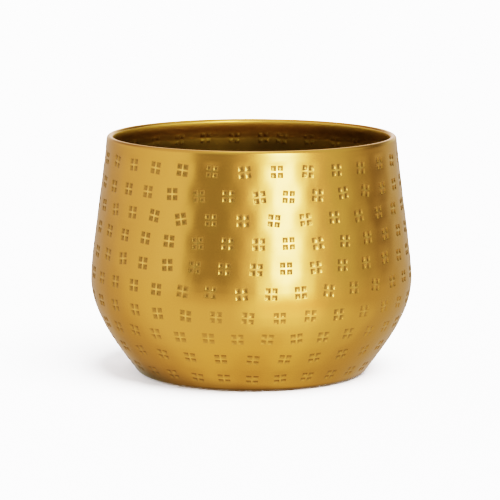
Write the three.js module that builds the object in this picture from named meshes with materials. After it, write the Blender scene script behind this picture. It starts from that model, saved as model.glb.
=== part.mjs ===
// Planter pot of punched brass sheet. The wall is one spun shell: it turns in to a flat flange at
// the foot and rolls inwards at the mouth. A base plate lies on the flange, with its middle pressed
// up a little. A bead of solder seals the two inside, and four pads under the plate carry the pot.
// Millimetres, +Z up. The origin is on the shelf, under the middle of the pot.
import * as THREE from "three";

// Outline of the wall, on its outer face
const BELLY_RADIUS = 100;
const BELLY_HEIGHT = 60;
const MOUTH_RADIUS = 89.8;
const POT_HEIGHT = 148;
const MOUTH_LEAN = THREE.MathUtils.degToRad(4.9);
const FOOT_RADIUS = 69.1;
const FOOT_LEAN = THREE.MathUtils.degToRad(36);

// How far the wall keeps each direction before it bends away: the handles of its two curves
const FOOT_PULL = 19.4;
const BELLY_PULL_DOWN = 22.9;
const BELLY_PULL_UP = 11.9;
const MOUTH_PULL = 20.9;

// Sheet and its bends, which are given by their inner radius
const SHEET = 1;
const FOOT_BEND = 3;
const LIP_BORE = 1.1;
const LIP_GAP = 0.45;
const FLANGE_WIDTH = 11;

// Base plate, solder and pads
const PLATE_THICKNESS = 1;
const PLATE_GAP = 0.3;
const PLATE_RISE = 0.8;
const PLATE_RAMP = 1.6;
const PLATE_RIM = 1.5;
const SOLDER_GAP = 0.3;
const SOLDER_HEIGHT = 1.8;
const SOLDER_WIDTH = 3.4;
const SOLDER_HOLLOW = 0.35;
const SHELF_GAP = 0.6;
const PAD_COUNT = 4;
const PAD_RADIUS = 9;
const PAD_EDGE = 0.25;
const PAD_MARGIN = 3;

// Facets
const WALL_FACETS = 72;
const PAD_FACETS = 28;
const BEND_STEPS = 3;
const LOWER_STEPS = 7;
const UPPER_STEPS = 6;
const LIP_RISE_STEPS = 3;
const LIP_FALL_STEPS = 7;
const SOLDER_STEPS = 3;

// Heights and radii that follow from the sizes above
const FLANGE_TOP = SHELF_GAP + SHEET;
const PLATE_TOP = FLANGE_TOP + PLATE_THICKNESS;
const FLANGE_INNER_RADIUS = FOOT_RADIUS - FLANGE_WIDTH;
const FOOT_BEND_OUTSIDE = FOOT_BEND + SHEET;
const LIP_RADIUS = LIP_BORE + SHEET;
const PLATE_STEP_RADIUS = FLANGE_INNER_RADIUS - PLATE_RIM;
const PLATE_MIDDLE_RADIUS = PLATE_STEP_RADIUS - PLATE_RAMP;
const PAD_HEIGHT = FLANGE_TOP + PLATE_RISE;
const PAD_RING_RADIUS = PLATE_MIDDLE_RADIUS - PAD_MARGIN - PAD_RADIUS;

const brass = new THREE.MeshStandardMaterial({ color: 0xb98f3c, roughness: 0.34, metalness: 1 });
const darkBrass = new THREE.MeshStandardMaterial({ color: 0x9c7633, roughness: 0.42, metalness: 1 });
const solder = new THREE.MeshStandardMaterial({ color: 0x8d8574, roughness: 0.5, metalness: 1 });
const rubber = new THREE.MeshStandardMaterial({ color: 0x26241f, roughness: 0.85, metalness: 0 });

function point(radius, height) {
  return new THREE.Vector2(radius, height);
}

// A point that lies a distance from another, in a direction given from +R towards +Z
function away(from, distance, angle) {
  return point(from.x + distance * Math.cos(angle), from.y + distance * Math.sin(angle));
}

function arc(centre, radius, start, end, steps) {
  const points = [];
  for (let i = 0; i <= steps; i += 1) {
    points.push(away(centre, radius, THREE.MathUtils.lerp(start, end, i / steps)));
  }
  return points;
}

// Points of a rising curve, moved square to it towards the inside of the pot
function inwards(curve, steps, depth) {
  const points = [];
  for (let i = 0; i <= steps; i += 1) {
    const place = curve.getPoint(i / steps);
    const along = curve.getTangent(i / steps);
    points.push(point(place.x - depth * along.y, place.y + depth * along.x));
  }
  return points;
}

const footBendCentre = point(FOOT_RADIUS, SHELF_GAP + FOOT_BEND_OUTSIDE);
const footEnd = away(footBendCentre, FOOT_BEND_OUTSIDE, -FOOT_LEAN);
const belly = point(BELLY_RADIUS, BELLY_HEIGHT);
const lipCentre = point(
  MOUTH_RADIUS - LIP_RADIUS * Math.cos(MOUTH_LEAN),
  POT_HEIGHT - LIP_RADIUS,
);
const mouth = away(lipCentre, LIP_RADIUS, MOUTH_LEAN);
const lowerWall = new THREE.CubicBezierCurve(
  footEnd,
  away(footEnd, FOOT_PULL, Math.PI / 2 - FOOT_LEAN),
  point(BELLY_RADIUS, BELLY_HEIGHT - BELLY_PULL_DOWN),
  belly,
);
const upperWall = new THREE.CubicBezierCurve(
  belly,
  point(BELLY_RADIUS, BELLY_HEIGHT + BELLY_PULL_UP),
  away(mouth, MOUTH_PULL, MOUTH_LEAN - Math.PI / 2),
  mouth,
);

// The lip turns until its edge is a small gap short of the wall that it started from
const lipEnd = MOUTH_LEAN + 2 * Math.PI - Math.acos((LIP_BORE - LIP_GAP) / LIP_RADIUS);

// The whole wall from the flange's edge to the lip's, at one depth in from its outer face
function wallLine(depth) {
  return [
    point(FLANGE_INNER_RADIUS, SHELF_GAP + depth),
    ...arc(footBendCentre, FOOT_BEND_OUTSIDE - depth, -Math.PI / 2, -FOOT_LEAN, BEND_STEPS),
    ...inwards(lowerWall, LOWER_STEPS, depth).slice(1),
    ...inwards(upperWall, UPPER_STEPS, depth).slice(1),
    ...arc(lipCentre, LIP_RADIUS - depth, MOUTH_LEAN, Math.PI / 2, LIP_RISE_STEPS).slice(1),
    ...arc(lipCentre, LIP_RADIUS - depth, Math.PI / 2, lipEnd, LIP_FALL_STEPS).slice(1),
  ];
}

// Turns a closed profile about the pot's axis. The profile runs outwards along its underside.
function spun(profile, facets) {
  const geometry = new THREE.LatheGeometry(profile, facets);
  geometry.rotateX(Math.PI / 2);
  return geometry;
}

function wallShell() {
  const outside = wallLine(0);
  const inside = wallLine(SHEET).reverse();
  return spun([...outside, ...inside, outside[0].clone()], WALL_FACETS);
}

function basePlate() {
  const radius = FOOT_RADIUS - PLATE_GAP;
  const profile = [
    point(0, FLANGE_TOP + PLATE_RISE),
    point(PLATE_MIDDLE_RADIUS, FLANGE_TOP + PLATE_RISE),
    point(PLATE_STEP_RADIUS, FLANGE_TOP),
    point(radius, FLANGE_TOP),
    point(radius, PLATE_TOP),
    point(PLATE_STEP_RADIUS, PLATE_TOP),
    point(PLATE_MIDDLE_RADIUS, PLATE_TOP + PLATE_RISE),
    point(0, PLATE_TOP + PLATE_RISE),
  ];
  return spun(profile, WALL_FACETS);
}

// The stretch of a rising line between two heights, cut exactly at both
function between(line, low, high) {
  const cut = (above, height) => {
    const share = (height - line[above - 1].y) / (line[above].y - line[above - 1].y);
    return point(0, 0).lerpVectors(line[above - 1], line[above], share);
  };
  const first = line.findIndex((place) => place.y > low);
  const last = line.findIndex((place) => place.y > high);
  return [cut(first, low), ...line.slice(first, last), cut(last, high)];
}

// The solder lies on the plate and follows the wall's inner face; its free face is a little hollow
function solderBead() {
  const wallSide = between(wallLine(SHEET + SOLDER_GAP), PLATE_TOP, PLATE_TOP + SOLDER_HEIGHT);
  const foot = point(wallSide[0].x - SOLDER_WIDTH, PLATE_TOP);
  const crest = wallSide[wallSide.length - 1];
  const slope = Math.atan2(crest.y - foot.y, crest.x - foot.x);
  const middle = point(0, 0).lerpVectors(foot, crest, 0.5);
  const hollow = away(middle, SOLDER_HOLLOW, slope - Math.PI / 2);
  const face = new THREE.QuadraticBezierCurve(crest, hollow, foot).getPoints(SOLDER_STEPS);
  return spun([foot, ...wallSide, ...face.slice(1)], WALL_FACETS);
}

function footPad() {
  const profile = [
    point(0, 0),
    point(PAD_RADIUS - PAD_EDGE, 0),
    point(PAD_RADIUS, PAD_EDGE),
    point(PAD_RADIUS, PAD_HEIGHT),
    point(0, PAD_HEIGHT),
  ];
  return spun(profile, PAD_FACETS);
}

function piece(name, geometry, material) {
  const mesh = new THREE.Mesh(geometry, material);
  mesh.name = name;
  return mesh;
}

const pot = new THREE.Group();
pot.add(piece("wall_shell", wallShell(), brass));
pot.add(piece("base_plate", basePlate(), darkBrass));
pot.add(piece("seam_bead", solderBead(), solder));
for (let i = 0; i < PAD_COUNT; i += 1) {
  const pad = piece(`foot_pad_${i + 1}`, footPad(), rubber);
  const angle = (2 * Math.PI * (i + 0.5)) / PAD_COUNT;
  pad.position.set(PAD_RING_RADIUS * Math.cos(angle), PAD_RING_RADIUS * Math.sin(angle), 0);
  pot.add(pad);
}

export default pot;
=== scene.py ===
"""The looks of a punched sheet-brass planter pot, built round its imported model.

The wall is spun from the outline that the model has, and its columns and rings are drawn to the
rows of punched marks, so that every mark is real relief on both faces of the sheet.
Lengths are in metres, +Z is up, and the origin is on the shelf, under the middle of the pot.
"""
import math
import random

import bmesh
import bpy
import numpy as np
from bpy.props import FloatProperty, FloatVectorProperty, IntProperty, PointerProperty
from bpy.types import Operator, Panel, PropertyGroup
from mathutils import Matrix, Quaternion, Vector, noise
from mathutils.geometry import interpolate_bezier


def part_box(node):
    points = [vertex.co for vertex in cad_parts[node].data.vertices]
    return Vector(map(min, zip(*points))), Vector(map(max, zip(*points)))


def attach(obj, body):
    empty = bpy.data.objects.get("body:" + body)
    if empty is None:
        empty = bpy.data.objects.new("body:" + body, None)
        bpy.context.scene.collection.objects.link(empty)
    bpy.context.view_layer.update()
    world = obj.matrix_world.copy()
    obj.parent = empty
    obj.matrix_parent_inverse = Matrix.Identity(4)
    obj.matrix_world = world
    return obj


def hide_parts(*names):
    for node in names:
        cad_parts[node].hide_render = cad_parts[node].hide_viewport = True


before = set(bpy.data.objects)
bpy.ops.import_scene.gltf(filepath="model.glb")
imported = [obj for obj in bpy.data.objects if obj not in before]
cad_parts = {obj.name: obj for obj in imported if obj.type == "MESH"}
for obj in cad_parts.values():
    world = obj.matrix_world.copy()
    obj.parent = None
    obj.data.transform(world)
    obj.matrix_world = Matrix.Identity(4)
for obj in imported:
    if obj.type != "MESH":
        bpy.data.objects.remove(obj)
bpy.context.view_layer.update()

bl_info = {
    "name": "Punched brass planter pot",
    "version": (1, 0, 0),
    "blender": (4, 5, 0),
    "location": "3D View > Sidebar > Pot",
    "description": "Spins the sheet-brass pot, punches its marks, closes its foot and lights it",
    "category": "Add Mesh",
}

MM = 0.001
TAU = 2 * math.pi
WALL_LOW, WALL_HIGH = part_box("wall_shell")
PLATE_LOW, PLATE_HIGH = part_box("base_plate")
SEAM_LOW, SEAM_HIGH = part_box("seam_bead")
PADS = ("foot_pad_1", "foot_pad_2", "foot_pad_3", "foot_pad_4")

# Two points closer than this are one, and a point this near to a radius or a height lies on it
MERGE = 1e-6
NEAR = 1e-5

# Fineness of the meshes: spacing on the flange, steps round a bend of the section, and facets round
# a piece
FLANGE_STEP = 3 * MM
BEND_STEPS = 6
LIP_STEPS = 20
PLATE_FACETS = 180
SEAM_FACETS = 300
PAD_FACETS = 72
COVE_FACETS = 96

# Base plate: its thickness, the flat strip between the flange and the ramp, the ramp, and how far
# edges are rounded
PLATE_THICKNESS = 1.0 * MM
PLATE_RIM = 1.5 * MM
PLATE_RAMP = 1.6 * MM
PLATE_EDGE = 0.3 * MM
RAMP_EDGE = 0.5 * MM

# Solder: its gap to the wall, how far it reaches over the plate, how hollow its face is, the least
# thickness that a low spot leaves of it, and the stretch of wall just above the bend that it meets
SOLDER_GAP = 0.3 * MM
SOLDER_REACH = 4.8 * MM
SOLDER_HOLLOW = 0.35 * MM
SOLDER_LEAST = 0.05 * MM
SEAM_STRETCH = 4 * MM

# Lumps in the solder: how many a metre, and their height in millimetres. The tenth of the seam next
# to the wall has none.
LUMPS = ((120, 0.25), (420, 0.12))
SMOOTH_SHARE = 0.1

# Rounding of a foot pad's rims
PAD_EDGE = 0.35 * MM

# The front of the pot, in degrees from +X, and the radius that makes a shift round it an angle
FRONT = -90
DRIFT_RADIUS = 100 * MM

# The two faces of the sheet, in the order in which labels and squares are given
OUTSIDE, INSIDE = 0, 1

# Handwork: how hard a group was struck, how far the punch leaned, and how much of the brown in a
# mark is painted darker towards its upper edge, as painted shade on the slope that faces down
FORCE_RANGE = (0.85, 1.12)
BLOW_LEAN = 0.18
UPPER_SHADE = 0.2

# Steps in which a mark's bump rises inside the pot: width, share of the height, brown held
BUMP_STEPS = ((0.1 * MM, 0.0, 0.0), (0.6 * MM, 0.6, 0.2), (0.5 * MM, 1.0, 0.1))

# Heights on the lip, in its radii above its middle: the inside's finish reaches from the first up
# and has faded out at the second
LIP_LOW = -0.2
LIP_FADED = 0.5

# Rows of marks from the mouth down: millimetres along the sheet from the top of the lip, marks in
# the row, where the row starts at the front and its spacing, in degrees round the pot, and how hard
# it was struck. What a row lacks or has left over at the end is taken up by its last gap, at the back.
ROWS = (
    (13.6, 30, -2.7, 12.15, 1.0),
    (28.0, 32, 2.8, 11.14, 1.0),
    (42.0, 31, -3.2, 11.52, 0.95),
    (56.0, 33, 2.4, 10.96, 1.0),
    (70.4, 33, 1.6, 10.75, 1.0),
    (85.0, 34, -3.5, 10.4, 0.9),
    (100.0, 32, -1.1, 11.06, 0.8),
    (114.6, 33, -5.1, 10.76, 0.7),
    (130.4, 28, 0.6, 12.76, 0.65),
    (147.0, 28, 0.4, 12.67, 0.6),
)


def length(name, description, default):
    """A length property in metres."""
    return FloatProperty(name=name, description=description, default=default, unit="LENGTH",
                         precision=4, min=0.0)


def colour(name, description, default, high=1.0):
    """A linear colour property."""
    return FloatVectorProperty(name=name, description=description, default=default,
                               subtype="COLOR", size=3, min=0.0, max=high)


def tint(name, description, default):
    """A property that colours light, which it may also brighten."""
    return colour(name, description, default, high=2.0)


def share(name, description, default, high=1.0):
    """A plain number property that starts at 0."""
    return FloatProperty(name=name, description=description, default=default, min=0.0, max=high)


def angle(name, description, degrees):
    """An angle property, given in degrees and kept in radians."""
    return FloatProperty(name=name, description=description, default=math.radians(degrees),
                         subtype="ANGLE")


class PotOutline(PropertyGroup):
    """The section of the spun wall, on its outer face."""
    belly_radius: length("Belly radius", "Outer radius where the pot is widest", WALL_HIGH.x)
    belly_height: length("Belly height", "Height of the widest ring", 60 * MM)
    mouth_radius: length("Mouth radius", "Outer radius where the lip starts to roll", 89.8 * MM)
    pot_height: length("Pot height", "Height of the top of the lip", WALL_HIGH.z)
    mouth_lean: angle("Mouth lean", "How far the wall leans in below the lip", 4.9)
    foot_radius: length("Foot radius", "Radius where the foot starts to bend", 69.1 * MM)
    foot_lean: angle("Foot lean", "How far the wall leans out above the foot", 36)
    foot_pull: length("Foot pull", "How far the wall keeps the foot's lean", 19.4 * MM)
    belly_pull_down: length("Belly pull down", "How far it stays upright below the belly", 22.9 * MM)
    belly_pull_up: length("Belly pull up", "How far it stays upright above the belly", 11.9 * MM)
    mouth_pull: length("Mouth pull", "How far the wall keeps the mouth's lean", 20.9 * MM)
    sheet: length("Sheet", "Thickness of the sheet", 1 * MM)
    foot_bend: length("Foot bend", "Inner radius of the bend at the foot", 3 * MM)
    lip_bore: length("Lip bore", "Inner radius of the rolled lip", 1.1 * MM)
    lip_tuck: length("Lip tuck", "How far down the inner face the rolled lip fades out", 10 * MM)
    flange_width: length("Flange width", "Width of the flange turned in under the base", 11 * MM)
    shelf_gap: length("Shelf gap", "Height of the flange above the shelf", WALL_LOW.z)


class PunchMarks(PropertyGroup):
    """The square marks, punched four at a time."""
    columns: IntProperty(name="Columns", description="Columns of the wall's mesh", default=210)
    size: length("Mark size", "Side of one square mark", 3.35 * MM)
    gap: length("Mark gap", "Metal left between two marks of a group", 0.85 * MM)
    shoulder: length("Shoulder", "Width of the rounding at the top and foot of a mark", 0.25 * MM)
    slope: length("Slope", "Width of a mark's steep sides", 0.45 * MM)
    depth: length("Depth", "Depth of a full mark", 0.60 * MM)
    bump: length("Bump", "Height of a mark's bump inside the pot", 0.34 * MM)
    dimple: length("Dimple", "How far a group's blow sinks the sheet round it", 0.15 * MM)
    ring_step: length("Ring step", "Spacing of the mesh's rings between rows", 3 * MM)
    drift: share("Drift", "Random shift of a group, in millimetres", 0.45, 3.0)
    turn: angle("Turn", "Random turn of a group", 4.5)
    # Painted highlight: its strength where a group's ridges cross
    shine: share("Shine", "How bright the crossing of a group's ridges is rubbed", 0.45)
    seed: IntProperty(name="Seed", description="Seed of the hand-set irregularity", default=11)


class PotFinish(PropertyGroup):
    """Colours and gloss of the pieces."""
    brass: colour("Brass", "The wall's polished satin brass", (0.80, 0.40, 0.125))
    # Colour of the painted highlight where a group's ridges cross
    ridge_highlight: colour("Worn brass", "Brass rubbed bright between the marks", (1.0, 0.55, 0.20))
    # Also the colour of the painted shade low inside the pot
    patina_and_shade: colour("Patina", "Brown left in the marks and low spots", (0.20, 0.15, 0.055))
    # Partly a duller inner finish and partly painted shade: darker than the outer brass to stand for
    # the shade inside the pot
    inner_brass_and_shade: colour("Inner brass", "Duller brass inside the pot", (0.47, 0.325, 0.065))
    # Colour of the painted contact shade round the foot, darker and higher at the left
    painted_foot_shade: colour("Grime", "Dark tarnish round the foot", (0.125, 0.098, 0.04))
    plate: colour("Plate", "Spun brass of the base plate", (0.60, 0.385, 0.13))
    solder: colour("Solder", "Grey solder of the seam", (0.30, 0.27, 0.22))
    rubber: colour("Rubber", "Foot pads", (0.022, 0.021, 0.020))
    dust: colour("Dust", "Grey dust on the foot pads", (0.16, 0.15, 0.14))
    edge_tint: colour("Edge tint", "Tint of the metal seen edge on", (1.0, 0.98, 0.98))
    gloss: share("Roughness", "Roughness of the outer wall", 0.22)


class PotStage(PropertyGroup):
    """Camera, floor and light."""
    camera_distance: length("Camera distance", "From the pot's axis, level", 1.76)
    camera_height: length("Camera height", "Above the shelf", 0.3512)
    aim_height: length("Aim height", "Height that the camera looks at", 75.45 * MM)
    aim_side: FloatProperty(name="Aim side", description="Sideways aim", default=-0.868 * MM,
                            unit="LENGTH")
    lens: FloatProperty(name="Lens", description="Focal length in mm", default=205.9)
    roll: angle("Roll", "Turn of the camera about its line of sight", 0.08)
    floor: colour("Floor", "Pale floor", (0.86, 0.852, 0.862))
    floor_radius: length("Floor radius", "How far the floor reaches", 9.0)
    light: FloatProperty(name="Light", description="Strength of the overhead light", default=16.0)
    studio_tint: tint("Studio tint", "Tint of the light round the pot", (1.0, 1.0, 1.0))
    key_tint: tint("Key tint", "Tint of the bright panel", (1.0, 0.79, 0.75))
    band_tint: tint("Band tint", "Tint of the dark sides of the studio", (0.98, 1.17, 1.02))
    table_tint: tint("Table tint", "Tint of the light from below", (1.0, 0.99, 0.92))
    foot_tint: tint("Foot tint", "Tint of the table close to the pot", (1.0, 0.93, 0.64))


def polar(centre, radius, direction):
    """A point in the section's plane, at a distance from a centre."""
    return (centre[0] + radius * math.cos(direction), centre[1] + radius * math.sin(direction))


def arc(centre, radius, start, end, steps):
    """Points on an arc, both ends included."""
    return [polar(centre, radius, start + (end - start) * i / steps) for i in range(steps + 1)]


class WallLine:
    """The wall's section, measured in distance along the outer face from the top of the lip."""

    FINE_STEPS = 400

    def __init__(self, shape):
        self.shape = shape
        self.lip_radius = shape.lip_bore + shape.sheet
        self.bend_radius = shape.foot_bend + shape.sheet
        self.lip_centre = (shape.mouth_radius - self.lip_radius * math.cos(shape.mouth_lean),
                           shape.pot_height - self.lip_radius)
        self.bend_centre = (shape.foot_radius, shape.shelf_gap + self.bend_radius)
        mouth = polar(self.lip_centre, self.lip_radius, shape.mouth_lean)
        foot = polar(self.bend_centre, self.bend_radius, -shape.foot_lean)
        belly = (shape.belly_radius, shape.belly_height)
        upper = self.curve(mouth, polar(mouth, shape.mouth_pull, shape.mouth_lean - math.pi / 2),
                           (belly[0], belly[1] + shape.belly_pull_up), belly)
        lower = self.curve(belly, (belly[0], belly[1] - shape.belly_pull_down),
                           polar(foot, shape.foot_pull, math.pi / 2 - shape.foot_lean), foot)
        self.points = np.vstack((upper, lower[1:]))
        steps = np.linalg.norm(np.diff(self.points, axis=0), axis=1)
        self.start = self.lip_radius * (math.pi / 2 - shape.mouth_lean)
        self.distances = self.start + np.concatenate(([0.0], np.cumsum(steps)))
        self.end = float(self.distances[-1])
        along = np.gradient(self.points, self.distances, axis=0)
        self.normals = np.stack((-along[:, 1], along[:, 0]), axis=1)

    def curve(self, *knots):
        """A cubic curve through the first and last of four points, as fine steps."""
        flat = [Vector((r, z, 0)) for r, z in knots]
        return np.array([p[:2] for p in interpolate_bezier(*flat, self.FINE_STEPS)])

    def normal(self, distance):
        """The outward normal at a distance, as its radial and upright parts."""
        return [np.interp(distance, self.distances, self.normals[:, k]) for k in (0, 1)]

    def at(self, distance, depth=0.0):
        """Radius and height of the wall at a distance, moved inwards by a depth."""
        place = [np.interp(distance, self.distances, self.points[:, k]) for k in (0, 1)]
        return tuple(float(p - depth * n) for p, n in zip(place, self.normal(distance)))

    def inside(self, distance, depth=0.0):
        """Radius and height of the inner face, which swells at the mouth to meet the lip."""
        gone = min((distance - self.start) / self.shape.lip_tuck, 1.0)
        swell = 2 * self.lip_radius - self.shape.sheet
        swell *= 1 - gone * gone * (3 - 2 * gone)
        return self.at(distance, self.shape.sheet + swell + depth)

    def lip(self, steps):
        """The round face of the rolled lip, from the wall's outer face over to its inner one."""
        lean = self.shape.mouth_lean
        return arc(self.lip_centre, self.lip_radius, lean, lean + math.pi, steps)[1:-1]

    def bend(self, depth, steps):
        """The bend at the foot before the start of the wall, at a depth in the sheet."""
        points = arc(self.bend_centre, self.bend_radius - depth, -math.pi / 2,
                     -self.shape.foot_lean, steps)
        return points[:-1]


def spread(low, high, step):
    """Numbers between two others, neither included, about a step apart."""
    count = max(1, round((high - low) / step))
    return [low + (high - low) * i / count for i in range(1, count)]


def draw_section(mesh, outline, closed=True):
    """Draws an outline of radii and heights in the XZ plane."""
    verts = [mesh.verts.new((r, 0.0, z)) for r, z in outline]
    ends = verts[1:] + verts[:1] if closed else verts[1:]
    return verts, [mesh.edges.new(pair) for pair in zip(verts, ends)]


def turn_round(mesh, verts, edges, steps):
    """Spins a section once round Z and closes the seam."""
    bmesh.ops.spin(mesh, geom=verts + edges, cent=(0, 0, 0), axis=(0, 0, 1), dvec=(0, 0, 0),
                   angle=TAU, steps=steps, use_merge=True, use_duplicate=False)


def finished(name, mesh, material, node, sharp=30):
    """Makes a smooth-shaded object of a mesh that stands for one node of the model."""
    for face in mesh.faces:
        face.smooth = True
    data = bpy.data.meshes.new(name)
    mesh.to_mesh(data)
    mesh.free()
    data.set_sharp_from_angle(angle=math.radians(sharp))
    data.materials.append(material)
    piece = bpy.data.objects.new(name, data)
    bpy.context.scene.collection.objects.link(piece)
    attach(piece, "root")
    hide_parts(node)
    return piece


class Mark:
    """One group of four squares: its place on the wall and how the punch fell."""

    def __init__(self, row, centre, distance, marks, draw, blow):
        drift = marks.drift * MM
        self.row = row
        self.distance = distance + draw.uniform(-drift, drift)
        self.angle = centre + draw.uniform(-drift, drift) / DRIFT_RADIUS
        self.turn = draw.gauss(0.0, marks.turn)
        self.force = blow * draw.uniform(*FORCE_RANGE)
        self.tilt = [draw.uniform(-BLOW_LEAN, BLOW_LEAN) for _way in range(2)]


def punch_lines(marks):
    """Offsets of a group's four lines from its middle, the same across and down."""
    near = marks.gap / 2
    return (-near - marks.size, -near, near, near + marks.size)


def set_marks(marks):
    """All groups of marks, row by row, with the small irregularity of handwork."""
    draw = random.Random(marks.seed)
    rows = []
    for row, (distance, count, start, pitch, blow) in enumerate(ROWS):
        turns = [start + pitch * (i - count // 2) + FRONT for i in range(count)]
        rows.append([Mark(row, math.radians(turn), distance * MM, marks, draw, blow)
                     for turn in turns])
    return rows


class PunchedGrid:
    """The wall's vertices by ring and column, drawn to the groups of marks on both faces."""

    def __init__(self, mesh, line, rows, marks):
        self.mesh, self.line, self.rows, self.marks = mesh, line, rows, marks
        self.pitch = TAU / marks.columns
        self.offsets = punch_lines(marks)
        self.rings = self.ring_distances()
        self.places = {}

    def ring_distances(self):
        """Distances of all rings from the mouth down: four to each row, and a few between."""
        step = self.marks.ring_step
        lines = [row[0] * MM + offset for row in ROWS for offset in self.offsets]
        rings = [self.line.start]
        self.row_ring = {}
        for index, distance in enumerate(lines):
            if index % len(self.offsets) == 0:
                rings += spread(rings[-1], distance, step if index else step / 2)
                self.row_ring[index // len(self.offsets)] = len(rings)
            rings.append(distance)
        return rings + spread(rings[-1], self.line.end, step) + [self.line.end]

    def collect(self, layer):
        """Finds every wall vertex after the spin, from its ring's label and its own direction."""
        for vert in self.mesh.verts:
            label = vert[layer]
            if label:
                column = round(math.atan2(vert.co.y, vert.co.x) / self.pitch)
                self.places[label, column % self.marks.columns] = vert

    def place(self, label, column, angle, distance, sink=0.0):
        """Moves one vertex to an angle and a distance down the wall, on the face of its label."""
        face = self.line.at if label > 0 else self.line.inside
        radius, height = face(distance, sink)
        vert = self.places[label, column % self.marks.columns]
        vert.co = (radius * math.cos(angle), radius * math.sin(angle), height)

    def radius(self, mark):
        """The outer radius of the wall at a mark."""
        return self.line.at(mark.distance)[0]

    def row_shift(self, row):
        """How far each column is drawn aside, in radians, so that the row's marks meet columns."""
        columns, shifts = [], []
        half = (len(self.offsets) - 1) / 2
        for mark in row:
            mark.column = round(mark.angle / self.pitch - half)
            for step, offset in enumerate(self.offsets):
                column = mark.column + step
                columns.append(column)
                shifts.append(mark.angle + offset / self.radius(mark) - column * self.pitch)
        everywhere = np.arange(self.marks.columns)
        return np.interp(everywhere, columns, shifts, period=self.marks.columns)

    def draw_columns(self):
        """Draws the columns of every ring to the rows above and below it."""
        shifts = [self.row_shift(row) for row in self.rows]
        still = np.zeros(self.marks.columns)
        stops, values = [self.line.start], [still]
        for (distance, *_others), shift in zip(ROWS, shifts):
            stops += [distance * MM + self.offsets[0], distance * MM + self.offsets[-1]]
            values += [shift, shift]
        stops.append(self.line.end)
        values.append(still)
        table = np.array(values)
        for ring, distance in enumerate(self.rings):
            for column in range(self.marks.columns):
                shift = float(np.interp(distance, stops, table[:, column]))
                for label in (ring + 1, -ring - 1):
                    self.place(label, column, column * self.pitch + shift, distance)

    def draw_marks(self):
        """Turns and shifts each group's sixteen vertices, on both faces."""
        for mark in (mark for row in self.rows for mark in row):
            cos, sin = math.cos(mark.turn), math.sin(mark.turn)
            for i, down in enumerate(self.offsets):
                for j, across in enumerate(self.offsets):
                    aside = (across * cos - down * sin) / self.radius(mark)
                    distance = mark.distance + across * sin + down * cos
                    for label in self.labels(mark, i):
                        self.place(label, mark.column + j, mark.angle + aside, distance,
                                   self.marks.dimple * mark.force)

    def paint_ridge_highlight(self, layer):
        """Paints a highlight where the ridges between a group's four marks cross."""
        for mark in (mark for row in self.rows for mark in row):
            for line in (1, 2):
                for column in (mark.column + 1, mark.column + 2):
                    label = self.labels(mark, line)[OUTSIDE]
                    vert = self.places[label, column % self.marks.columns]
                    vert[layer] = -self.marks.shine * mark.force

    def labels(self, mark, line):
        """The labels of one of a mark's four rings, outside and inside."""
        ring = self.row_ring[mark.row] + line
        return ring + 1, -ring - 1

    def squares(self, mark, side):
        """The four square faces of a group on one side of the sheet."""
        found = []
        for i in (0, 2):
            for j in (0, 2):
                corners = ((i, j), (i + 1, j), (i + 1, j + 1), (i, j + 1))
                found.append(self.mesh.faces.get([
                    self.places[self.labels(mark, a)[side],
                                (mark.column + b) % self.marks.columns] for a, b in corners]))
        return found


def press(mesh, grid, side, depth, layer, steps):
    """Presses every square in by steps: a width, the share of the depth, and the brown it holds."""
    groups = [(mark, grid.squares(mark, side)) for row in grid.rows for mark in row]
    squares = [face for _mark, faces in groups for face in faces]
    reached = 0.0
    for width, share_of_depth, brown in steps:
        bmesh.ops.inset_individual(mesh, faces=squares, thickness=width, depth=0.0,
                                   use_even_offset=True)
        drop = depth * (share_of_depth - reached)
        reached = share_of_depth
        for mark, faces in groups:
            out, up = grid.line.normal(mark.distance)
            inwards = Vector((out * math.cos(mark.angle), out * math.sin(mark.angle), up)) * -drop
            for index, face in enumerate(faces):
                lean = mark.tilt[0] * (index % 2 - 0.5) + mark.tilt[1] * (index // 2 - 0.5)
                middle = face.calc_center_median().z
                for vert in face.verts:
                    rise = (vert.co.z - middle) / (grid.marks.size / 2)
                    # Painted shade: the brown is darkest at a square's upper edge and lightest at its
                    # lower one
                    shaded_upward = 1 - UPPER_SHADE + UPPER_SHADE * rise
                    vert[layer] = brown * min(mark.force, 1.0) * shaded_upward
                    vert.co += inwards * (mark.force + lean)


def wall_outline(line, rings, shape):
    """The closed section of the sheet, with the label of every point that is on the wall."""
    inner = shape.foot_radius - shape.flange_width
    under = [(inner, shape.shelf_gap)] + [
        (r, shape.shelf_gap) for r in spread(inner, shape.foot_radius, FLANGE_STEP)]
    outline, labels = [], []

    def add(points, names=None):
        outline.extend(points)
        labels.extend(names or [0] * len(points))

    rising = list(range(len(rings) - 1, -1, -1))
    add(under)
    add(line.bend(0.0, BEND_STEPS))
    add([line.at(rings[k]) for k in rising], [k + 1 for k in rising])
    add(line.lip(LIP_STEPS))
    add([line.inside(rings[k]) for k in rising[::-1]], [-k - 1 for k in rising[::-1]])
    add(line.bend(shape.sheet, BEND_STEPS)[::-1])
    add([(r, z + shape.sheet) for r, z in under[::-1]])
    return outline, labels


def pit_steps(marks):
    """Steps in which a mark sinks into the outside: width, share of the depth, brown held."""
    return ((0.05 * MM, 0.0, 0.4), (marks.shoulder, 0.15, 0.8), (marks.slope, 0.85, 1.1),
            (marks.shoulder, 1.0, 1.15))


def inside_share(vert, label, line):
    """How much of a vertex has the inside's finish, which fades out on top of the lip."""
    within = math.hypot(vert.co.x, vert.co.y) < line.lip_centre[0]
    rise = (vert.co.z - line.lip_centre[1]) / line.lip_radius
    if label < 0:
        return 1.0
    if not within or rise <= LIP_LOW:
        return 0.0
    return min(max(1 - rise / LIP_FADED, 0.0), 1.0)


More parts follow.
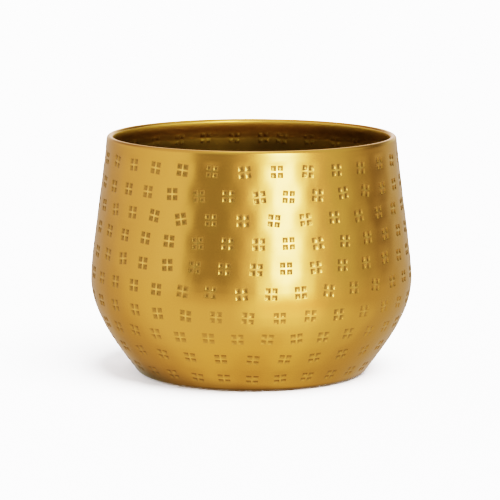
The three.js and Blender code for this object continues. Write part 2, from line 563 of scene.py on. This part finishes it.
def build_wall(shape, marks, material):
    """The spun and punched wall, one sheet from the flange to the rolled lip at the mouth."""
    mesh = bmesh.new()
    ring_layer = mesh.verts.layers.int.new("ring")
    # The mark attribute holds the brown patina in the marks, with painted shade at their upper edges,
    # and below zero the painted highlight where their ridges cross
    patina_shade_highlight_layer = mesh.verts.layers.float.new("mark")
    inside_layer = mesh.verts.layers.float.new("inside")
    line = WallLine(shape)
    grid = PunchedGrid(mesh, line, set_marks(marks), marks)
    outline, labels = wall_outline(line, grid.rings, shape)
    verts, edges = draw_section(mesh, outline)
    for vert, label in zip(verts, labels):
        vert[ring_layer] = label
    turn_round(mesh, verts, edges, marks.columns)
    bmesh.ops.recalc_face_normals(mesh, faces=mesh.faces)
    grid.collect(ring_layer)
    for vert in mesh.verts:
        vert[inside_layer] = inside_share(vert, vert[ring_layer], line)
    grid.draw_columns()
    grid.draw_marks()
    grid.paint_ridge_highlight(patina_shade_highlight_layer)
    press(mesh, grid, OUTSIDE, marks.depth, patina_shade_highlight_layer, pit_steps(marks))
    press(mesh, grid, INSIDE, marks.bump, patina_shade_highlight_layer, BUMP_STEPS)
    mesh.verts.layers.int.remove(mesh.verts.layers.int["ring"])
    return finished("punched_wall", mesh, material, "wall_shell", 60)


def soften(mesh, chosen, width, segments=3):
    """Bevels the edges that run level round a piece between the chosen vertices."""
    edges = [e for e in mesh.edges if all(chosen(v) for v in e.verts)
             and abs(e.verts[0].co.z - e.verts[1].co.z) < MERGE]
    bmesh.ops.bevel(mesh, geom=edges, offset=width, offset_type="OFFSET", affect="EDGES",
                    segments=segments, profile=0.5, material=-1)


def at_radius(radius):
    """A test of whether a vertex lies at a radius."""
    return lambda vert: abs(math.hypot(vert.co.x, vert.co.y) - radius) < NEAR


def build_plate(shape, material):
    """The base plate: a disc with its middle pressed up and its edges rounded."""
    mesh = bmesh.new()
    edge = PLATE_HIGH.x
    low = PLATE_LOW.z
    raised = low + PLATE_HIGH.z - PLATE_LOW.z - PLATE_THICKNESS
    step = shape.foot_radius - shape.flange_width - PLATE_RIM
    middle = step - PLATE_RAMP
    under = [(0.0, raised), (middle / 2, raised), (middle, raised), (step, low), (edge, low)]
    top = [(r, z + PLATE_THICKNESS) for r, z in under[::-1]]
    verts, edges = draw_section(mesh, under + top, closed=False)
    turn_round(mesh, verts, edges, PLATE_FACETS)
    bmesh.ops.remove_doubles(mesh, verts=mesh.verts, dist=MERGE)
    bmesh.ops.recalc_face_normals(mesh, faces=mesh.faces)
    soften(mesh, at_radius(edge), PLATE_EDGE)
    for radius in (middle, step):
        soften(mesh, at_radius(radius), RAMP_EDGE)
    return finished("spun_base_plate", mesh, material, "base_plate")


def seam_outline(shape):
    """The section of the solder: up the wall's inner face, and back down a hollow free face."""
    line = WallLine(shape)
    clear = shape.sheet + SOLDER_GAP
    low, high = SEAM_LOW.z, SEAM_HIGH.z
    # A close run of points up the bend and the wall, of which every eighth is kept
    wall = [line.at(d, clear) for d in np.linspace(line.end - SEAM_STRETCH, line.end, 60)]
    rising = sorted(wall + line.bend(clear, 30), key=lambda p: p[1])
    rising = [p for p in rising if low < p[1] < high]
    rising = rising[::8] + [rising[-1]]
    foot = (-SEAM_LOW.x - SOLDER_REACH, low)
    crest = rising[-1]
    face = [(crest[0] + (foot[0] - crest[0]) * t, crest[1] + (foot[1] - crest[1]) * t
             - SOLDER_HOLLOW * math.sin(math.pi * t)) for t in (0.2, 0.4, 0.6, 0.8)]
    return [foot, (rising[0][0], low)] + rising[1:] + face, foot[0], crest[0]


def build_seam(shape, material):
    """The solder seam: a hollow-faced bead between the plate and the wall, a little uneven."""
    mesh = bmesh.new()
    outline, inner, outer = seam_outline(shape)
    verts, edges = draw_section(mesh, outline)
    turn_round(mesh, verts, edges, SEAM_FACETS)
    bmesh.ops.recalc_face_normals(mesh, faces=mesh.faces)
    low = SEAM_LOW.z
    for vert in mesh.verts:
        away = max(0.0, outer - math.hypot(vert.co.x, vert.co.y)) / (outer - inner)
        if vert.co.z > low + NEAR and away > SMOOTH_SHARE:
            lump = sum(noise.noise(vert.co * often) * height for often, height in LUMPS)
            vert.co.z += max(lump * MM * away, low + SOLDER_LEAST - vert.co.z)
    return finished("solder_seam", mesh, material, "seam_bead")


def build_pad(index, node, material):
    """One rubber pad with softly rounded edges."""
    low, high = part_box(node)
    mesh = bmesh.new()
    radius = (high.x - low.x) / 2
    bmesh.ops.create_cone(mesh, cap_ends=True, cap_tris=False, segments=PAD_FACETS,
                          radius1=radius, radius2=radius, depth=high.z - low.z)
    soften(mesh, lambda vert: True, PAD_EDGE, segments=4)
    bmesh.ops.translate(mesh, verts=mesh.verts, vec=(low + high) / 2)
    return finished(f"rubber_pad_{index}", mesh, material, node)


class Wire:
    """A socket in a node tree. Sums on it add the nodes that work them out."""

    def __init__(self, board, socket):
        self.board, self.socket = board, socket

    def work(self, operation, *values):
        """One Math node of these values."""
        settings = {"operation": operation}
        return self.board.node("ShaderNodeMath", settings, dict(enumerate(values)))

    def __add__(self, other):
        return self.work("ADD", self, other)

    def __sub__(self, other):
        return self.work("SUBTRACT", self, other)

    def __rsub__(self, other):
        return self.work("SUBTRACT", other, self)

    def __mul__(self, other):
        return self.work("MULTIPLY", self, other)

    def __neg__(self):
        return self.work("MULTIPLY", self, -1)

    def __truediv__(self, other):
        return self.work("DIVIDE", self, other)

    def __pow__(self, other):
        return self.work("POWER", self, other)

    __radd__ = __add__

    def eased(self, low, high):
        """0 below low and 1 above high, with a smooth step between."""
        return self.board.node("ShaderNodeMapRange", {"interpolation_type": "SMOOTHSTEP"},
                               {"Value": self, "From Min": low, "From Max": high})

    def slope(self, low, high):
        """0 below low and 1 above high, in a straight line between."""
        return self.board.node("ShaderNodeMapRange", {"clamp": True},
                               {"Value": self, "From Min": low, "From Max": high})

    def window(self, low, high, soft):
        """1 between two numbers, falling to 0 over a soft margin outside each."""
        return self.eased(low - soft, low) * (1 - self.eased(high, high + soft))


class Board:
    """The node tree of a material or of the world."""

    def __init__(self, owner):
        owner.use_nodes = True
        self.tree = owner.node_tree
        self.tree.nodes.clear()

    def node(self, kind, settings=None, inputs=None, output=0):
        """Adds a node of a type, sets its settings, then its inputs. Returns one output."""
        node = self.tree.nodes.new(kind)
        for name, value in (settings or {}).items():
            if name == "stops":
                self.set_ramp(node.color_ramp, value)
            else:
                setattr(node, name, value)
        for name, value in (inputs or {}).items():
            self.plug(self.find(node.inputs, name), value)
        return Wire(self, self.find(node.outputs, output))

    @staticmethod
    def find(sockets, name):
        """A socket by its number, or by its identifier or name."""
        if isinstance(name, int):
            return sockets[name]
        return next(s for s in sockets if name in (s.identifier, s.name))

    def plug(self, socket, value):
        """Links a wire to a socket, or sets a plain value on it."""
        if isinstance(value, Wire):
            self.tree.links.new(value.socket, socket)
        elif socket.type == "RGBA":
            socket.default_value = (*value, 1.0)
        else:
            socket.default_value = value

    @staticmethod
    def set_ramp(ramp, stops):
        """Gives a colour ramp its stops."""
        while len(ramp.elements) < len(stops):
            ramp.elements.new(0.5)
        for element, (position, tone) in zip(ramp.elements, stops):
            element.position = position
            element.color = (*tone, 1.0)

    def mix(self, share_of_b, a, b):
        """A colour between two others."""
        return self.node("ShaderNodeMix", {"data_type": "RGBA"},
                         {"Factor_Float": share_of_b, "A_Color": a, "B_Color": b},
                         "Result_Color")

    def noise(self, vector, scale, detail=3.0, roughness=0.5):
        """Plain noise from 0 to 1."""
        return self.node("ShaderNodeTexNoise", None, {"Vector": vector, "Scale": scale,
                         "Detail": detail, "Roughness": roughness}, "Fac")

    def object_place(self):
        """The point on the piece, in metres, and its three parts."""
        place = self.node("ShaderNodeTexCoord", None, None, "Object")
        return place, [self.node("ShaderNodeSeparateXYZ", None, {0: place}, k) for k in range(3)]

    def join(self, x, y, z):
        """A vector of three numbers."""
        return self.node("ShaderNodeCombineXYZ", None, {0: x, 1: y, 2: z})

    def attribute(self, name):
        """A number that the piece carries at its vertices."""
        return self.node("ShaderNodeAttribute", {"attribute_name": name}, None, "Fac")

    def bump(self, height, distance, strength=1.0, normal=None):
        """A bumped normal. The height's unit is one distance."""
        inputs = {"Height": height, "Distance": distance, "Strength": strength}
        if normal is not None:
            inputs["Normal"] = normal
        return self.node("ShaderNodeBump", None, inputs)

    def surface(self, inputs):
        """The piece's one shader."""
        shader = self.node("ShaderNodeBsdfPrincipled", None, inputs, "BSDF")
        self.node_output("ShaderNodeOutputMaterial", shader)

    def node_output(self, kind, shader):
        """Ends the tree."""
        node = self.tree.nodes.new(kind)
        self.tree.links.new(shader.socket, node.inputs["Surface"])


def foot_contact_shade(left, z):
    """How much painted contact shade darkens the wall: it rises from the foot, higher and darker at
    the left, where the pot's shadow falls.
    """
    low = WALL_LOW.z
    reach = left.eased(-0.5, 0.95) * 12 * MM + 3 * MM
    return (1 - z.eased(low, reach + low)) * (left.eased(0.6, 0.95) * 0.28 + 0.6)


def dull_coat_and_painted_light(inside, aside, z):
    """How thick the thin dull coat inside is, which scatters light, and how far it paints the inner
    colour lighter, as painted light: most near the mouth and in the middle.
    """
    middle, flanks = 0.245, 0.10
    thickness = middle - (aside * aside).eased(0, 1.15) * (middle - flanks)
    return inside * z.slope(130 * MM, 147 * MM) ** 1.15 * thickness


def wall_brass(finish):
    """Satin brass, spun in fine rings, brown in the marks and duller inside, with painted shade at the
    foot and low inside, and painted light near the mouth inside and on the marks' ridges.
    """
    material = bpy.data.materials.new("punched_brass")
    board = Board(material)
    place, (x, y, z) = board.object_place()
    # mark: patina in the marks with painted shade at their upper edges; below zero, the painted
    # highlight on their ridges
    mark, inside = board.attribute("mark"), board.attribute("inside")
    lathe = board.join(x * 8, y * 8, z * 900)
    rings = board.noise(lathe, scale=1.0, detail=4.0, roughness=0.6)
    cloud = board.noise(place, scale=34.0, detail=4.0, roughness=0.55)
    grain = board.noise(place, scale=1500.0, detail=2.0, roughness=0.6)
    waves = board.noise(board.join(x, y, z * 1.6), scale=22.0, detail=1.0)
    tarnish = (cloud - 0.5) * 0.5 + (rings - 0.5) * 0.22
    left = x / -PLATE_HIGH.x
    aside = (x + 12 * MM) / PLATE_HIGH.x
    coat_and_light = dull_coat_and_painted_light(inside, aside, z)
    # Painted shade: the inside darkens below the mouth, fully under 131 mm, and less towards the right
    deep_painted_shade = (1 - z.eased(131 * MM, 141 * MM)) * (1 - aside.eased(0.2, 0.9)) * 0.35
    # Painted light: the marks hold less brown near the right edge, so they read lit there
    held = 0.68 - (x / PLATE_HIGH.x).eased(0.75, 1.2) * 0.55
    # Real patina and tarnish, with the painted shade at the marks' upper edges and the painted light
    # at the right
    stain_and_painted_light = mark * held + tarnish.eased(0.02, 0.34) * 0.22
    # Painted highlight: brighter brass where the ridges between a group's marks cross
    painted = (-mark).eased(0, 0.5) * 0.8
    outer = board.mix(stain_and_painted_light, board.mix(painted, finish.brass, finish.ridge_highlight), finish.patina_and_shade)
    # Painted shade: the wall darkens towards the foot, most at the left, in place of the contact
    # shadow
    outer = board.mix(foot_contact_shade(left, z), outer, finish.painted_foot_shade)
    # Painted light: the inner colour turns to the brighter brass where the dull coat is thickest, near
    # the mouth and in the middle
    inner = board.mix(coat_and_light * 2, finish.inner_brass_and_shade, finish.brass)
    inner = board.mix(stain_and_painted_light + deep_painted_shade, inner, finish.patina_and_shade)
    rough = finish.gloss + tarnish * 0.10 + inside * 0.36 + mark * 0.08 + (grain - 0.5) * 0.05
    fine = board.bump(rings * 0.7 + grain * 0.3, distance=0.02 * MM, strength=0.35)
    uneven = board.bump(waves, distance=0.7 * MM, strength=0.35, normal=fine)
    board.surface({"Base Color": board.mix(inside, outer, inner), "Metallic": 1 - coat_and_light,
                   "Specular Tint": finish.edge_tint, "Roughness": rough, "Normal": uneven})
    return material


def plate_brass(finish):
    """The base plate's brass, turned in fine circles, with a few darker stains."""
    material = bpy.data.materials.new("plate_brass")
    board = Board(material)
    place, (x, y, z) = board.object_place()
    lathe = board.join((x * x + y * y) ** 0.5 * 1400, z * 40, 0.0)
    circles = board.noise(lathe, scale=1.0, detail=3.0, roughness=0.65)
    stains = board.noise(place, scale=60.0, detail=5.0, roughness=0.6).eased(0.45, 0.75)
    board.surface({"Base Color": board.mix(stains * 0.45, finish.plate, finish.patina_and_shade),
                   "Metallic": 1.0,
                   "Roughness": 0.34 + stains * 0.16 + (circles - 0.5) * 0.1,
                   "Normal": board.bump(circles, distance=0.03 * MM, strength=0.5)})
    return material


def solder_grey(finish):
    """Dull solder, with a brown edge of flux."""
    material = bpy.data.materials.new("solder_grey")
    board = Board(material)
    place, _parts = board.object_place()
    lumps = board.noise(place, scale=480.0, detail=4.0, roughness=0.6)
    flux = board.noise(place, scale=150.0, detail=3.0, roughness=0.6).eased(0.5, 0.7)
    board.surface({"Base Color": board.mix(flux * 0.6, finish.solder, finish.patina_and_shade),
                   "Metallic": 1.0 - flux * 0.35,
                   "Roughness": 0.38 + lumps * 0.25,
                   "Normal": board.bump(lumps, distance=0.12 * MM, strength=0.6)})
    return material


def pad_rubber(finish):
    """Matte black rubber with a fine moulded grain and a little dust."""
    material = bpy.data.materials.new("pad_rubber")
    board = Board(material)
    place, _parts = board.object_place()
    grain = board.noise(place, scale=1800.0, detail=3.0, roughness=0.6)
    dust = board.noise(place, scale=260.0, detail=4.0, roughness=0.6).eased(0.5, 0.8)
    board.surface({"Base Color": board.mix(dust * 0.25, finish.rubber, finish.dust),
                   "Roughness": 0.72 + dust * 0.2,
                   "Normal": board.bump(grain, distance=0.06 * MM, strength=0.6)})
    return material


def cove_paint(stage):
    """The pale cove, with the faint mottling of matt paper."""
    material = bpy.data.materials.new("pale_paper")
    board = Board(material)
    place, _parts = board.object_place()
    mottle = board.noise(place, scale=90.0, detail=3.0)
    darker = tuple(0.985 * c for c in stage.floor)
    board.surface({"Base Color": board.mix(mottle, stage.floor, darker), "Roughness": 0.9,
                   "Specular IOR Level": 0.1})
    return material


# How bright the studio is at the height of the pot, all round it: degrees from the front towards
# the right, and the brightness there. The bright key panel comes on top.
ROUND_POT = (
    (-180, 1.0), (-164, 0.66), (-145, 0.46), (-121, 0.66), (-90, 0.72), (-60, 0.86), (-48, 0.86),
    (-44, 0.32), (-20, 0.32), (-8, 0.5), (10, 0.6), (42, 0.8), (60, 0.59), (75, 0.51), (94, 0.41),
    (105, 0.13), (120, 0.14), (132, 0.44), (150, 0.56), (164, 0.86), (180, 1.0),
)


class Studio:
    """What the metal mirrors, by direction: a soft studio, a bright panel and a table below.

    A direction is its unit vector's x, y and z, and its turn in degrees from the front towards
    the right.
    """

    def __init__(self, world, stage):
        self.board = board = Board(world)
        self.stage = stage
        way = board.node("ShaderNodeTexCoord", None, None, "Generated")
        self.x, self.y, self.z = (
            board.node("ShaderNodeSeparateXYZ", None, {0: way}, k) for k in range(3))
        self.turn = self.x.work("ARCTAN2", self.x, -self.y) * math.degrees(1)
        self.below = (-self.z).eased(-0.08, 0.10)

    def around(self):
        """The studio round the pot, with what lies just over the pot's own height."""
        x, y, z, turn = self.x, self.y, self.z, self.turn
        stops = [(degrees / 360 + 0.5, (level,) * 3) for degrees, level in ROUND_POT]
        level = self.board.node("ShaderNodeValToRGB", {"stops": stops},
                                {"Fac": turn / 360 + 0.5}, "Color")
        unlit = turn.window(-42, -14, 6) + turn.window(85, 125, 12) * 0.6
        level = level * (1 - unlit * (z.eased(-0.01, 0.04) * 0.42 - z.eased(0.06, 0.13) * 0.24))
        front_sky = z.eased(0.14, 0.3) * (1 - y.eased(0.2, 0.6)) * 0.7
        level = level + (0.55 - level) * front_sky
        flanks = (x * x).eased(0.01, 0.1) * (x.eased(0, 0.3) * 0.16 + 0.42)
        return level * (1 - flanks * z.eased(0.2, 0.4) * y.eased(0.2, 0.5))

    def panel(self):
        """The bright panel at the right, brightest in a strip down its middle."""
        z, turn = self.z, self.turn
        panel = turn.window(11, 37, 12) * 1.2 + turn.window(18.8, 29.4, 7) * 4.0
        return panel * (z.eased(-0.02, 0.16) * 0.28 + 0.76) * (1 - z.eased(0.5, 0.85) * 0.8)

    def table(self):
        """The table, lit by the panel, and darker in the pot's own shade."""
        x, y, z, turn = self.x, self.y, self.z, self.turn
        down = -z
        plain = turn.window(-75, 40, 55) * 0.29 + 0.47
        lit = turn.window(12, 34, 24) * z.slope(-0.84, -0.45) * 0.7
        glow = turn.window(15, 31, 14) * z.slope(-0.28, -0.04) * 0.34
        flank = turn.window(46, 100, 16) * down.eased(0.25, 0.5) * 0.13
        nadir = down.eased(0.95, 1.0) * 0.28
        shade = (y * 0.7 - z).eased(0.95, 1.25) * (0.36 - x * 0.4)
        dim = turn.window(-44, -14, 10) * z.eased(-0.32, -0.1) * 0.19
        behind = y.eased(0.5, 0.85) * down.eased(0.34, 0.6) * (1 - x.eased(-0.25, 0.2)) * 0.3
        light = (plain + lit + glow + flank) * (1 - nadir) * (1 - shade)
        return light * (1 - dim) * (1 - behind)

    def light(self):
        """How bright each direction is."""
        over = self.z.eased(0.6, 0.9)
        overhead = self.z.eased(0.955, 0.975) * 0.7 + 0.6
        upper = (self.around() + self.panel()) * (1 - over) + overhead * over
        return upper * (1 - self.below) + self.table() * self.below

    def hue(self):
        """The tint of each direction."""
        x, y, z, turn, stage, board = self.x, self.y, self.z, self.turn, self.stage, self.board
        down = -z
        band = turn.window(-44, -14, 8) * (1 - self.below)
        band = band + turn.window(68, 150, 16) * 0.85 * (1 - self.below * 0.7)
        belly = z.slope(-0.6, -0.3) * (1 - z.eased(-0.2, 0)) * 0.9 + 0.1
        low = (down - x.eased(-0.1, 0.3) * 0.22).eased(0.25, 0.55)
        warm = down.eased(0.7, 1) * 0.45 + y.eased(-0.1, 0.7) * low * 0.7
        hue = board.mix(self.below, stage.studio_tint, stage.table_tint)
        hue = board.mix(band, hue, stage.band_tint)
        hue = board.mix(turn.window(14, 42, 16) * belly, hue, stage.key_tint)
        return board.mix(warm, hue, stage.foot_tint)

    def hang(self):
        """Ends the world's tree with this light."""
        sky = self.board.node("ShaderNodeBackground", None,
                              {"Color": self.hue(), "Strength": self.light()}, "Background")
        self.board.node_output("ShaderNodeOutputWorld", sky)


def build_cove(stage):
    """The floor, curved up into a pale wall all round, so that no horizon shows."""
    mesh = bmesh.new()
    reach = stage.floor_radius
    bend = reach / 3
    outline = [(r, 0.0) for r in (0.0, 0.5, 2.0, 4.0)]
    outline += arc((reach - bend, bend), bend, -math.pi / 2, 0.0, 12) + [(reach, reach)]
    verts, edges = draw_section(mesh, outline, closed=False)
    turn_round(mesh, verts, edges, COVE_FACETS)
    bmesh.ops.remove_doubles(mesh, verts=mesh.verts, dist=MERGE)
    bmesh.ops.recalc_face_normals(mesh, faces=mesh.faces)
    for face in mesh.faces:
        face.smooth = True
    data = bpy.data.meshes.new("cove")
    mesh.to_mesh(data)
    mesh.free()
    data.materials.append(cove_paint(stage))
    cove = bpy.data.objects.new("cove", data)
    bpy.context.scene.collection.objects.link(cove)
    cove.visible_glossy = False


def build_sun(stage):
    """A wide soft light from overhead, which the metal doesn't mirror."""
    lamp = bpy.data.lights.new("overhead", "SUN")
    lamp.energy = stage.light
    lamp.angle = math.radians(46)
    sun = bpy.data.objects.new("overhead", lamp)
    sun.rotation_euler = (math.radians(18), math.radians(16), 0)
    sun.visible_glossy = False
    bpy.context.scene.collection.objects.link(sun)


def build_camera(stage):
    """The camera, in front of the pot and looking a little down into its mouth."""
    camera = bpy.data.cameras.new("camera")
    camera.lens = stage.lens
    camera.sensor_width = 36.0
    camera.clip_end = 60.0
    viewer = bpy.data.objects.new("camera", camera)
    viewer.location = (0.0, -stage.camera_distance, stage.camera_height)
    aim = Vector((stage.aim_side, 0.0, stage.aim_height)) - viewer.location
    viewer.rotation_mode = "QUATERNION"
    roll = Quaternion((0, 0, 1), stage.roll)
    viewer.rotation_quaternion = aim.to_track_quat("-Z", "Y") @ roll
    scene = bpy.context.scene
    scene.collection.objects.link(viewer)
    scene.camera = viewer


def build_stage(stage):
    """The cove, the light, the camera and how the picture is developed."""
    scene = bpy.context.scene
    build_camera(stage)
    build_cove(stage)
    build_sun(stage)
    scene.world = scene.world or bpy.data.worlds.new("studio")
    Studio(scene.world, stage).hang()
    scene.view_settings.view_transform = "Filmic"
    scene.view_settings.look = "Very High Contrast"


class POT_OT_wall(Operator):
    """Spin and punch the pot's wall"""
    bl_idname = "pot.wall"
    bl_label = "Punched wall"

    def execute(self, context):
        scene = context.scene
        build_wall(scene.pot_outline, scene.pot_marks, wall_brass(scene.pot_finish))
        return {"FINISHED"}


class POT_OT_plate(Operator):
    """Make the base plate"""
    bl_idname = "pot.plate"
    bl_label = "Base plate"

    def execute(self, context):
        build_plate(context.scene.pot_outline, plate_brass(context.scene.pot_finish))
        return {"FINISHED"}


class POT_OT_seam(Operator):
    """Run the solder seam between plate and wall"""
    bl_idname = "pot.seam"
    bl_label = "Solder seam"

    def execute(self, context):
        build_seam(context.scene.pot_outline, solder_grey(context.scene.pot_finish))
        return {"FINISHED"}


class POT_OT_pads(Operator):
    """Stick the four rubber pads under the plate"""
    bl_idname = "pot.pads"
    bl_label = "Foot pads"

    def execute(self, context):
        rubber = pad_rubber(context.scene.pot_finish)
        for index, node in enumerate(PADS, 1):
            build_pad(index, node, rubber)
        return {"FINISHED"}


class POT_OT_stage(Operator):
    """Set the floor, the light and the camera"""
    bl_idname = "pot.stage"
    bl_label = "Stage"

    def execute(self, context):
        build_stage(context.scene.pot_stage)
        return {"FINISHED"}


class POT_PT_sidebar(Panel):
    """The pot's sizes, its finish and the steps that build it"""
    bl_idname = "POT_PT_sidebar"
    bl_label = "Planter pot"
    bl_space_type = "VIEW_3D"
    bl_region_type = "UI"
    bl_category = "Pot"

    def draw(self, context):
        for operator in OPERATORS:
            self.layout.operator(operator.bl_idname)
        for name in GROUPS:
            group = getattr(context.scene, name)
            box = self.layout.box()
            for key in group.__annotations__:
                box.prop(group, key)


OPERATORS = (POT_OT_stage, POT_OT_wall, POT_OT_plate, POT_OT_seam, POT_OT_pads)
GROUPS = {
    "pot_outline": PotOutline,
    "pot_marks": PunchMarks,
    "pot_finish": PotFinish,
    "pot_stage": PotStage,
}
CLASSES = (*GROUPS.values(), *OPERATORS, POT_PT_sidebar)


def register():
    """Makes the settings and the steps known."""
    for cls in CLASSES:
        bpy.utils.register_class(cls)
    for name, group in GROUPS.items():
        setattr(bpy.types.Scene, name, PointerProperty(type=group))


def unregister():
    """Takes the settings and the steps away again."""
    for name in GROUPS:
        delattr(bpy.types.Scene, name)
    for cls in reversed(CLASSES):
        bpy.utils.unregister_class(cls)


def main():
    """Builds the stage and every piece."""
    register()
    bpy.ops.pot.stage()
    bpy.ops.pot.wall()
    bpy.ops.pot.plate()
    bpy.ops.pot.seam()
    bpy.ops.pot.pads()


if __name__ == "__main__":
    main()
